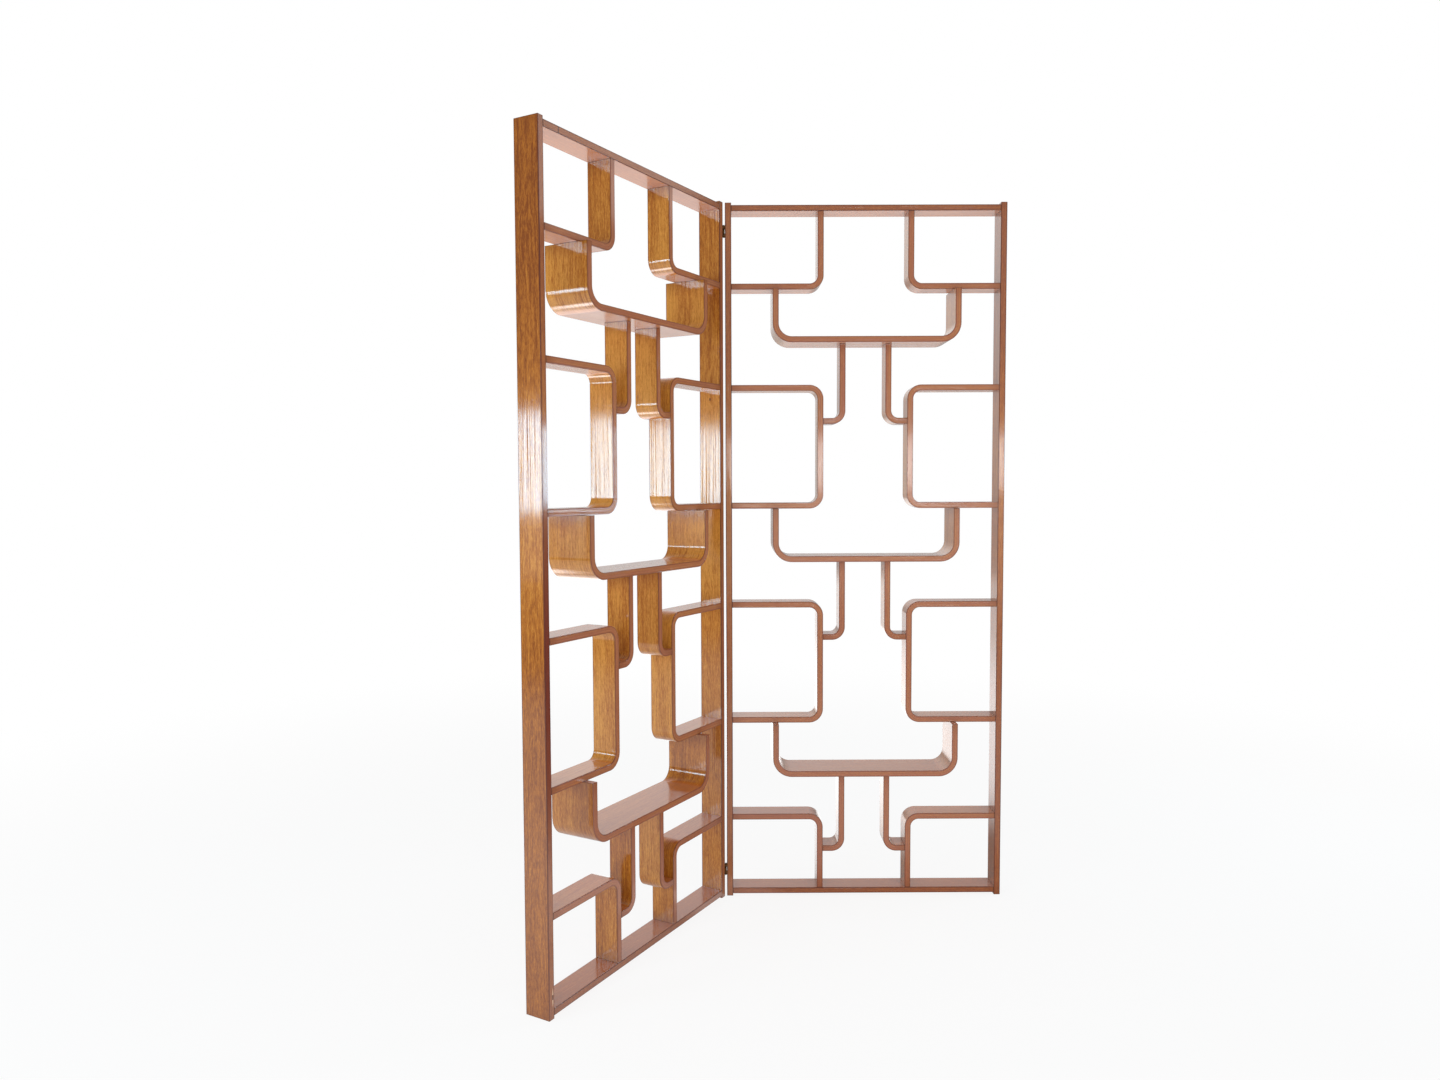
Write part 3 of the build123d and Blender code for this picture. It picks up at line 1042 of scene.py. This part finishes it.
def dark_edges(tree, colour, figure, arris_share):
    """The colour with a painted shade line on each edge, painted shade towards the ends, and dark
    joints.
    """
    # Painted shade: a dark line along each rounded edge
    arris = remap(tree, stored(tree, "to_arris"), *ARRIS_LINE, arris_share, 0.0)
    arris = maths(tree, "MULTIPLY", arris, remap(tree, figure, *ARRIS_BY_FIGURE))
    to_end = stored(tree, "to_end")
    # Painted shade: darker towards each end, in the corners where boards meet
    near_end = remap(tree, to_end, *END_FADES, END_SHADE_SHARE, 0.0)
    joint = remap(tree, to_end, *JOINT_FADES, JOINT_SHARE, 0.0)
    colour = blend_colours(tree, arris, colour, ARRIS_SHADE)
    colour = blend_colours(tree, near_end, colour, CHESTNUT)
    return blend_colours(tree, joint, colour, JOINT_BROWN)


print("ends darken over the last", round(END_FADES[1] * MM_PER_M), "mm")

# %% [markdown]
# ## Marks
#
# Three boards have a small mark: a knot, a dark nick, and a scuff with bare wood at its ends. A
# picture could be placed there, but a mark this small is an oval with a soft rim. The mesh keeps
# each point's way to the board's one mark, and the finish reads how long it is.

# %% Small marks
KNOT_BROWN = screen_colour(70, 34, 20)
BARE_WOOD = screen_colour(232, 196, 160)
MARK_FADES = (0.5, 1.0)
MARK_SHARE = 0.85
BARE_BEYOND = 0.22


def marked(tree, colour):
    """The colour with the board's mark in it: dark, and on a scuff with bare wood at its ends."""
    mark = stored(tree, "mark", "Vector")
    along = maths(tree, "ABSOLUTE", one_part(tree, mark, "X"))
    beyond = maths(tree, "GREATER_THAN", along, BARE_BEYOND)
    bare = maths(tree, "MULTIPLY", beyond, stored(tree, "bare_ends"))
    mark_colour = blend_colours(tree, bare, KNOT_BROWN, BARE_WOOD)
    share = remap(tree, vector_maths(tree, "LENGTH", mark), *MARK_FADES, MARK_SHARE, 0.0)
    return blend_colours(tree, share, colour, mark_colour)


print("a mark has a soft rim, from", MARK_FADES[0], "of its half size on")

# %% [markdown]
# ## Tops, undersides and slanting views
#
# The flat tops of the boards are painted redder than the rest and the undersides more orange, which is
# painted light: on the tops as it falls from above, on the undersides as it comes from the floor. Seen
# at a slant, the wood is painted paler, as a painted sheen. Tinted lamps could be hung for that, but
# they would tint the posts as well. The way that a surface faces tells the tops from the undersides,
# and leaves the rest as it is.

# %% How the colour changes with the way a surface faces
PAINTED_TOP_LIGHT = screen_colour(196, 98, 24)
PAINTED_UNDER_LIGHT = screen_colour(236, 132, 44)
PAINTED_GLANCING_SHEEN = screen_colour(240, 176, 140)
TOP_FROM = (0.82, 0.98)
TOP_SHARE = 0.45
UNDER_FROM = (-0.99, -0.85)
UNDER_SHARE = 0.50
GLANCING_FROM = (0.36, 0.82)
GLANCING_SHARE = 0.20
HALF_MIX = 0.5


def colour_with_painted_light(tree, colour):
    """The colour with painted light: redder on flat tops, more orange on undersides and paler at a
    slant.
    """
    normal = add_node(tree, "NewGeometry").outputs["Normal"]
    upwards = one_part(tree, normal, "Z")
    under = remap(tree, upwards, *UNDER_FROM, UNDER_SHARE, 0.0)
    top = remap(tree, upwards, *TOP_FROM, 0.0, TOP_SHARE)
    slant = add_node(tree, "LayerWeight", {"Blend": HALF_MIX}).outputs["Facing"]
    # Painted light on undersides and tops, and a painted sheen at a slant
    colour = blend_colours(tree, under, colour, PAINTED_UNDER_LIGHT)
    colour = blend_colours(tree, top, colour, PAINTED_TOP_LIGHT)
    slanting = remap(tree, slant, *GLANCING_FROM, 0.0, GLANCING_SHARE)
    return blend_colours(tree, slanting, colour, PAINTED_GLANCING_SHEEN)


print("tops are redder by", TOP_SHARE, "and undersides more orange by", UNDER_SHARE)

# %% [markdown]
# ## The lacquer
#
# Old gloss lacquer is a clear coat on stained wood, and it isn't quite flat: it sank a little
# into the grain, so a mirrored lamp frays along it. Mixing a glossy with a matt shader could
# give such a coat, but the principled shader has a coat of its own that can have its own bumps,
# and it survives an export.

# %% The lacquered wood
TONE_SHARE = 0.16
RELIEF = {"lines": 0.7, "pores": 0.5}
RELIEF_DEEP = 0.0003
RELIEF_STRENGTH = 0.5
RIPPLE = ((2.5, 200.0, 200.0), 1.0)
RIPPLE_DEEP = 0.00040
RIPPLE_ON_PLIES = 0.5


def lacquered_wood(name, plies):
    """Stained beech under gloss lacquer, with plies on its narrow faces or growth rings."""
    material, tree = start_material(name)
    place = stored(tree, "straight_board", "Vector")
    tone = stored(tree, "tone")
    narrow = stored(tree, "narrow_face")
    height = one_part(tree, room_place(tree), "Z")
    wood, drawn, ply_count = place_in_wood(tree, place, tone, narrow)
    grain = {noise: stretched_noise(tree, wood, *settings) for noise, settings in GRAIN.items()}
    ripple = stretched_noise(tree, wood, *RIPPLE)

    if plies:
        start, shares = BENT_START, bent_shares(tree, grain, height)
    else:
        start, shares = SAWN_START, sawn_shares(tree, grain, height, place, tone)
    shade = weighed_sum(tree, start, shares + [(tone, TONE_SHARE)])
    # Painted light: the share that PAINTED_LIGHT_BY_KIND gives this kind of board
    shade = maths(tree, "ADD", shade, stored(tree, "paler"))
    colour = wood_colour(tree, shade, grain["pores"])

    if plies:
        edge = ply_edge(tree, colour, grain["figure"], drawn, ply_count)
        arris_share = ARRIS_SHARE_OF_BENT
        ripple = maths(tree, "MULTIPLY", ripple, remap(tree, narrow, 0.0, 1.0, 1.0, RIPPLE_ON_PLIES))
    else:
        edge = sawn_edge(tree, colour)
        arris_share = ARRIS_SHARE_OF_SAWN
    colour = blend_colours(tree, narrow, colour, edge)
    colour = dark_edges(tree, colour, grain["figure"], arris_share)
    colour = colour_with_painted_light(tree, marked(tree, colour))

    height_of_grain = weighed_sum(tree, 0.5, [(grain[noise], share) for noise, share in RELIEF.items()])
    relief = {"Height": height_of_grain, "Strength": RELIEF_STRENGTH, "Distance": RELIEF_DEEP}
    film = {"Height": ripple, "Strength": 1.0, "Distance": RIPPLE_DEEP}
    inputs = {
        "Base Color": colour,
        "Roughness": 0.5,
        "IOR": 1.5,
        "Specular IOR Level": 0.1,
        "Normal": add_node(tree, "Bump", relief).outputs[0],
        "Coat Weight": 1.0,
        "Coat IOR": 1.6,
        "Coat Roughness": 0.095,
        "Coat Normal": add_node(tree, "Bump", film).outputs[0],
    }
    shader = add_node(tree, "BsdfPrincipled", inputs)
    add_node(tree, "OutputMaterial", {0: shader.outputs[0]})
    print("finish", name, "has", len(tree.nodes), "nodes")
    return material


bent_wood = lacquered_wood("lacquered_bent_board", plies=True)
sawn_wood = lacquered_wood("lacquered_sawn_board", plies=False)

# %% [markdown]
# ## One board in place
#
# Each board replaces its imported node, is cut to that node's own size, and rides on its panel.
# A number between 0 and 1, drawn once for each board from a seeded generator, makes some a little
# darker and some more golden, because veneers from one tree still differ. What sets a kind of board or
# a single one apart is written down beside it: how much paler it is painted, which is painted light on
# kinds of board that the lamps leave too dark, the three small marks, and the posts whose narrow faces
# are darkened with painted shade. Such a board could have a material of its own, but numbers kept on
# its points let all share two.

# %% What sets single boards apart
TONE_SEED = 1962
draw_tone = np.random.default_rng(TONE_SEED)
# Painted light: how much paler each kind of board is painted, to lift the hooks under the trays, the
# posts at the hinge line and others that the lamps leave too dark
PAINTED_LIGHT_BY_KIND = {"hook": 0.14, "loop": 0.27, "tray": 0.10, "inner_post": 0.39, "elbow": 0.05}
# A mark's place in the straight board, its half sizes, and 1 if the wood is bare at its ends
MARKS = {
    "left_inner_post": ((1.700, 0.0, -0.0105), (0.0070, 0.0040, 0.01), 0.0),
    "left_top_rail": ((0.837, -0.040, 0.0), (0.0030, 0.0120, 0.02), 0.0),
    "left_outer_post": ((0.060, -0.040, 0.0040), (0.0300, 0.0080, 0.0026), 1.0),
}
NO_MARK = ((9.0, 9.0, 9.0), (1.0, 1.0, 1.0), 0.0)
# The share of painted shade on the narrow faces, the height where it is strongest, and its reach
EDGE_SHADE = {
    "left_inner_post": (0.60, 1.2, 2.0),
    "right_inner_post": (0.40, 1.2, 2.0),
    "left_outer_post": (0.90, 0.95, 0.6),
}
NO_EDGE_SHADE = (0.0, 0.0, 1.0)


def write_mark(mesh, board_name):
    """Each point's way from the board's one mark, in half sizes of the mark.

    A board without a mark keeps it far away.
    """
    middle, half_sizes, bare_ends = MARKS.get(board_name, NO_MARK)
    straight = read_table(mesh.attributes["straight_board"].data, "vector")
    write_attribute(mesh, "mark", (straight - middle) / half_sizes)
    write_attribute(mesh, "bare_ends", np.full(len(straight), bare_ends))


def write_edge_shade(mesh, board_name):
    """How much painted shade darkens the narrow faces at each point.

    It is the board's share, times one less the square of the distance from the height where it
    is strongest over its reach, but never below nothing.
    """
    share, strongest, reach = EDGE_SHADE.get(board_name, NO_EDGE_SHADE)
    places = read_table(mesh.vertices, "co")
    distance = (places[:, 2] - strongest) / reach
    write_attribute(mesh, "edge_shade", share * np.clip(1 - distance**2, 0, 1))


print("marks on", len(MARKS), "boards, stained edges on", len(EDGE_SHADE))

# %% [markdown]
# One function then sets down any board: it measures the imported node, sweeps the board at that size,
# writes what the finish reads on its points, hides the imported node that the new board stands for, and
# hangs the board on the panel that it rides on. Straight or bent, all boards are made by it.

# %% Setting down one board
NOT_BOARDS = ("hinge", "dowels")


def set_board(side, part_name, corners, bend, half_thick, ease, finish, slot, recesses=()):
    """Sweeps a board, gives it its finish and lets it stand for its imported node."""
    node = f"{side}_{part_name}"
    low, high = panel_box(side, node)
    half_depth = (high[1] - low[1]) / 2
    middle_depth = (high[1] + low[1]) / 2
    moved = [(a, b, back - middle_depth, deep) for a, b, back, deep in recesses]
    mesh = sweep_board(f"{node}_board", side, corners, bend, half_depth, half_thick, ease, moved)
    places = read_table(mesh.vertices, "co")
    places += middle_depth * panel_axes(SIDES[side])[1]
    mesh.vertices.foreach_set("co", places.ravel())
    # Painted light that this kind of board gets
    paler = sum(share for word, share in PAINTED_LIGHT_BY_KIND.items() if word in part_name)
    write_attribute(mesh, "tone", np.full(len(places), draw_tone.random()))
    write_attribute(mesh, "paler", np.full(len(places), paler))
    write_mark(mesh, node)
    write_edge_shade(mesh, node)
    settle_mesh(mesh)
    mesh.materials.append(finish)
    board = bpy.data.objects.new(f"{node}_board", mesh)
    bpy.context.scene.collection.objects.link(board)
    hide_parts(node)
    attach(board, f"{side}_panel")
    return len(mesh.polygons)


waiting = [node for node in frame["nodes"] if not any(word in node for word in NOT_BOARDS)]
print("packed nodes that boards will stand for:", len(waiting))

# %% [markdown]
# ## The posts and rails
#
# Four straight boards make the frame of a panel. The posts run past the rails at the top and
# at the floor. The posts at the hinge line have a shallow recess for each hinge leaf, cut as
# deep and as wide as the leaf in it and a little over.

# %% Posts and rails
POST_EASE = 0.0013
RECESS_CLEAR = 0.0002


def leaf_recesses(side, post_low):
    """Where the hinge leaves lie in a post: low, high, back and how deep."""
    found = []
    for level in ("lower", "upper"):
        low, high = panel_box(side, f"{level}_hinge_{side}_leaf")
        deep = high[0] + RECESS_CLEAR - post_low[0]
        found.append((low[2] - RECESS_CLEAR, high[2] + RECESS_CLEAR, high[1] + RECESS_CLEAR, deep))
    return found


for side in SIDES:
    faces = 0
    for part_name in ("inner_post", "outer_post"):
        low, high = panel_box(side, f"{side}_{part_name}")
        middle = (low[0] + high[0]) / 2
        corners = [(middle, low[2]), (middle, high[2])]
        recesses = leaf_recesses(side, low) if part_name == "inner_post" else ()
        half_thick = (high[0] - low[0]) / 2
        size = (corners, 0, half_thick, POST_EASE)
        faces += set_board(side, part_name, *size, sawn_wood, "post_board", recesses)
    for part_name in ("top_rail", "bottom_rail"):
        low, high = panel_box(side, f"{side}_{part_name}")
        middle = (low[2] + high[2]) / 2
        corners = [(low[0], middle), (high[0], middle)]
        size = (corners, 0, HALF_BOARD, BOARD_EASE)
        faces += set_board(side, part_name, *size, sawn_wood, "rail_board")
    print(side, "posts and rails:", faces, "faces")

# %% [markdown]
# ## The bent boards
#
# Five shapes fill the lattice: elbows and hooks with one bend, loops and trays with two. Each
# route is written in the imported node's own box: a board that runs along the low side of its box
# has its middle half a thickness in from it, and one that ends on a side ends on the face. So
# the routes need no sizes of their own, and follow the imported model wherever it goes.

# %% Routes in the box of a board
LOOP_BEND = 0.037
TRAY_BEND = 0.054
HOOK_BEND = 0.034

LOW_FACE, LOW_MIDDLE, HIGH_MIDDLE, HIGH_FACE = range(4)

RISING = ((LOW_FACE, LOW_MIDDLE), (HIGH_MIDDLE, LOW_MIDDLE), (HIGH_MIDDLE, HIGH_FACE))
FALLING = ((LOW_FACE, HIGH_MIDDLE), (HIGH_MIDDLE, HIGH_MIDDLE), (HIGH_MIDDLE, LOW_FACE))
LOOPED = (
    (LOW_FACE, LOW_MIDDLE),
    (HIGH_MIDDLE, LOW_MIDDLE),
    (HIGH_MIDDLE, HIGH_MIDDLE),
    (LOW_FACE, HIGH_MIDDLE),
)
CUPPED = (
    (LOW_MIDDLE, HIGH_FACE),
    (LOW_MIDDLE, LOW_MIDDLE),
    (HIGH_MIDDLE, LOW_MIDDLE),
    (HIGH_MIDDLE, HIGH_FACE),
)

BENT_BOARDS = {
    "top_elbow": (RISING, LOOP_BEND),
    "bottom_elbow": (FALLING, LOOP_BEND),
    "upper_loop": (LOOPED, LOOP_BEND),
    "lower_loop": (LOOPED, LOOP_BEND),
    "upper_hook": (RISING, HOOK_BEND),
    "middle_hook": (RISING, HOOK_BEND),
    "lower_hook": (RISING, HOOK_BEND),
}


def route_in_box(side, node, shape, mirrored):
    """A route's corners: for each, one of four levels across the box and one of four up it."""
    low, high = panel_box(side, node)
    across = [low[0], low[0] + HALF_BOARD, high[0] - HALF_BOARD, high[0]]
    upwards = [low[2], low[2] + HALF_BOARD, high[2] - HALF_BOARD, high[2]]
    if mirrored:
        across = across[::-1]
    return [(across[s], upwards[h]) for s, h in shape]


shapes = {shape for shape, _ in BENT_BOARDS.values()}
print("each half of a panel has", len(BENT_BOARDS), "bent boards of", len(shapes), "shapes")

# %% [markdown]
# The outer half of a panel mirrors the inner half, and the trays join the two. A hook, a loop
# or an elbow is bent tighter than a tray, as their radii above tell.

# %% The bent boards of both panels
for side in SIDES:
    faces = 0
    for end in ("inner", "outer"):
        for shape_name, (shape, bend) in BENT_BOARDS.items():
            part_name = f"{end}_{shape_name}"
            corners = route_in_box(side, f"{side}_{part_name}", shape, end == "outer")
            size = (corners, bend, HALF_BOARD, BOARD_EASE)
            faces += set_board(side, part_name, *size, bent_wood, "bent_board")
    for level in ("upper", "middle", "lower"):
        part_name = f"{level}_tray"
        corners = route_in_box(side, f"{side}_{part_name}", CUPPED, False)
        size = (corners, TRAY_BEND, HALF_BOARD, BOARD_EASE)
        faces += set_board(side, part_name, *size, bent_wood, "bent_board")
    print(side, "bent boards:", faces, "faces")

# %% [markdown]
# ## Hinges, screws and dowels
#
# The metal is small and old. Brass left in a living room turns from yellow to brown in patches,
# and shines only where fingers rub it. One noise drives both its colour and its shine, because
# a patch that is duller is darker too. A picture of patina would do it for one view, but it
# would need unwrapping, and the noise reads the room's coordinates as they are.

# %% Finishes of the metal and the dowels
PATCH_WAVES = (180.0, 180.0, 180.0)
PATCHES = (0.35, 0.65)
SCRATCH_WAVES = (900.0, 900.0, 120.0)
SCRATCH_DEEP = 0.0001
SCRATCH_STRENGTH = 0.25
WORN_SMOOTHER = -0.14
BEECH = screen_colour(214, 178, 132)
BEECH_FLECK = screen_colour(170, 122, 80)
BEECH_WAVES = (700.0, 700.0, 700.0)
BEECH_FLECKS = (0.5, 0.7)
BEECH_ROUGHNESS = 0.6
# Each metal's colour where it is worn bright and where it is tarnished, and its roughness
METALS = {
    "old_hinge_brass": (screen_colour(132, 98, 62), screen_colour(70, 46, 32), 0.50),
    "old_screw_brass": (screen_colour(150, 112, 66), screen_colour(84, 58, 38), 0.42),
    "hinge_pin_steel": (screen_colour(150, 148, 144), screen_colour(96, 92, 86), 0.38),
}


def aged_metal(name):
    """Metal whose colour and shine both wander with one slow noise, as a patina does."""
    bright, tarnished, roughness = METALS[name]
    material, tree = start_material(name)
    place = room_place(tree)
    patches = stretched_noise(tree, place, PATCH_WAVES, detail=4.0, roughness=0.6)
    scratches = {
        "Height": stretched_noise(tree, place, SCRATCH_WAVES),
        "Strength": SCRATCH_STRENGTH,
        "Distance": SCRATCH_DEEP,
    }
    worn = remap(tree, patches, *PATCHES)
    inputs = {
        "Base Color": blend_colours(tree, worn, tarnished, bright),
        "Metallic": 1.0,
        "Roughness": maths(tree, "MULTIPLY_ADD", worn, WORN_SMOOTHER, roughness),
        "Normal": add_node(tree, "Bump", scratches).outputs[0],
    }
    shader = add_node(tree, "BsdfPrincipled", inputs)
    add_node(tree, "OutputMaterial", {0: shader.outputs[0]})
    return material


def plain_beech(name):
    """Unstained beech: a pale colour with fine darker flecks, read in the room's coordinates."""
    material, tree = start_material(name)
    flecks = stretched_noise(tree, room_place(tree), BEECH_WAVES)
    colour = blend_colours(tree, remap(tree, flecks, *BEECH_FLECKS), BEECH, BEECH_FLECK)
    shader = add_node(tree, "BsdfPrincipled", {"Base Color": colour, "Roughness": BEECH_ROUGHNESS})
    add_node(tree, "OutputMaterial", {0: shader.outputs[0]})
    return material


leaf_brass = aged_metal("old_hinge_brass")
screw_brass = aged_metal("old_screw_brass")
pin_steel = aged_metal("hinge_pin_steel")
beech = plain_beech("dowel_beech_wood")
print("metals:", ", ".join(METALS))

# %% [markdown]
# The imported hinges, screws and dowels already have the right shape, so new ones would gain
# nothing. They stay as they are and are given a finish. The dowels would show only if a joint
# were pulled apart.

# %% Dress the hinges, screws and dowels
def dress_node(node, finish):
    """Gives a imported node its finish."""
    piece = frame["nodes"][node]
    piece.data.materials.clear()
    piece.data.materials.append(finish)


for side in SIDES:
    for level in ("upper", "lower"):
        dress_node(f"{level}_hinge_{side}_leaf", leaf_brass)
    dress_node(f"{side}_hinge_screws", screw_brass)
    for group in ("rail_dowels", "side_dowels", "middle_dowels"):
        dress_node(f"{side}_{group}", beech)
for level in ("upper", "lower"):
    dress_node(f"{level}_hinge_pin", pin_steel)
print("hinges, screws and dowels dressed")
